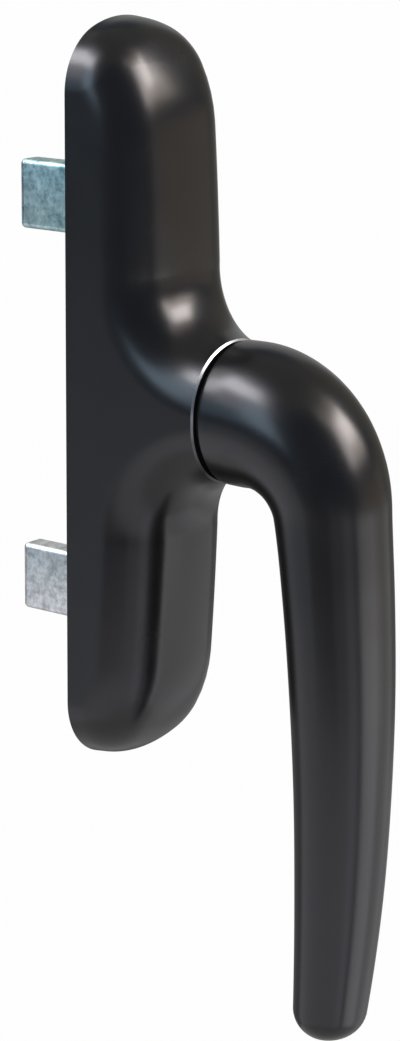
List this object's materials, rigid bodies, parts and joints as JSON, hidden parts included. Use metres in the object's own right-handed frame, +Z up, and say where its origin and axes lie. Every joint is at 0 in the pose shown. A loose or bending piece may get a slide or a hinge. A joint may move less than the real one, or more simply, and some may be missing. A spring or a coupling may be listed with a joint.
{
  "type": "tilt and turn window handle",
  "caption": "Tilt and turn window handle with a long rounded housing, a thick round neck, a curved lever that turns half a turn, and flat drive prongs behind.",
  "frame": {"origin": "on the lever's turning axis, in the plane of the back face that lies on the sash, midway between the fixing holes", "axes": "+Y out of the back face into the sash, so the lever is on the -Y side; +Z up along the housing; +X to the right as seen from the room"},
  "size_m": [0.0364, 0.0929, 0.2066],
  "materials": {
    "black_paint": "satin",
    "zinc_plate": "satin",
    "bright_steel": "satin",
    "cast_zinc": "matte",
    "bush_plastic": "matte",
    "seal_plastic": "matte"
  },
  "bodies": {
    "base": {"housing": "black_paint", "back_plate": "zinc_plate", "back_plate_screws": "bright_steel", "bearing_plate": "zinc_plate", "bearing_plate_screws": "bright_steel", "stop_pin": "bright_steel", "neck_bush": "bush_plastic", "thrust_washer": "bush_plastic", "seam_washer": "seal_plastic", "upper_detent_spring": "bright_steel", "lower_detent_spring": "bright_steel"},
    "lever_set": {"lever": "black_paint", "drive_spindle": "bright_steel", "lever_screw": "bright_steel", "index_disc": "bright_steel"},
    "upper_drive": {"upper_slider": "cast_zinc", "upper_prong": "zinc_plate"},
    "lower_drive": {"lower_slider": "cast_zinc", "lower_prong": "zinc_plate"},
    "upper_ball": {"upper_detent_ball": "bright_steel"},
    "lower_ball": {"lower_detent_ball": "bright_steel"}
  },
  "joints": [
    {"name": "lever_turn", "type": "hinge", "parent": "base", "child": "lever_set", "pos_m": [0, 0, 0], "axis": [0, -1, 0], "range_deg": [0, 180]},
    {"name": "upper_prong_slide", "type": "slide", "parent": "base", "child": "upper_drive", "axis": [0, 0, -1], "range_m": [0, 0.01885]},
    {"name": "lower_prong_slide", "type": "slide", "parent": "base", "child": "lower_drive", "axis": [0, 0, 1], "range_m": [0, 0.01885]},
    {"name": "upper_ball_push", "type": "slide", "parent": "base", "child": "upper_ball", "axis": [0, 0, -1], "range_m": [0, 0.0005], "stiffness_N_per_m": 100, "springref_m": 0.003, "deforming": ["upper_detent_spring"]},
    {"name": "lower_ball_push", "type": "slide", "parent": "base", "child": "lower_ball", "axis": [0, 0, 1], "range_m": [0, 0.0005], "stiffness_N_per_m": 100, "springref_m": 0.003, "deforming": ["lower_detent_spring"]}
  ],
  "couplings": [
    {"joint": "upper_prong_slide", "follows": "lever_turn", "m_per_rad": 0.006},
    {"joint": "lower_prong_slide", "follows": "lever_turn", "m_per_rad": 0.006}
  ]
}
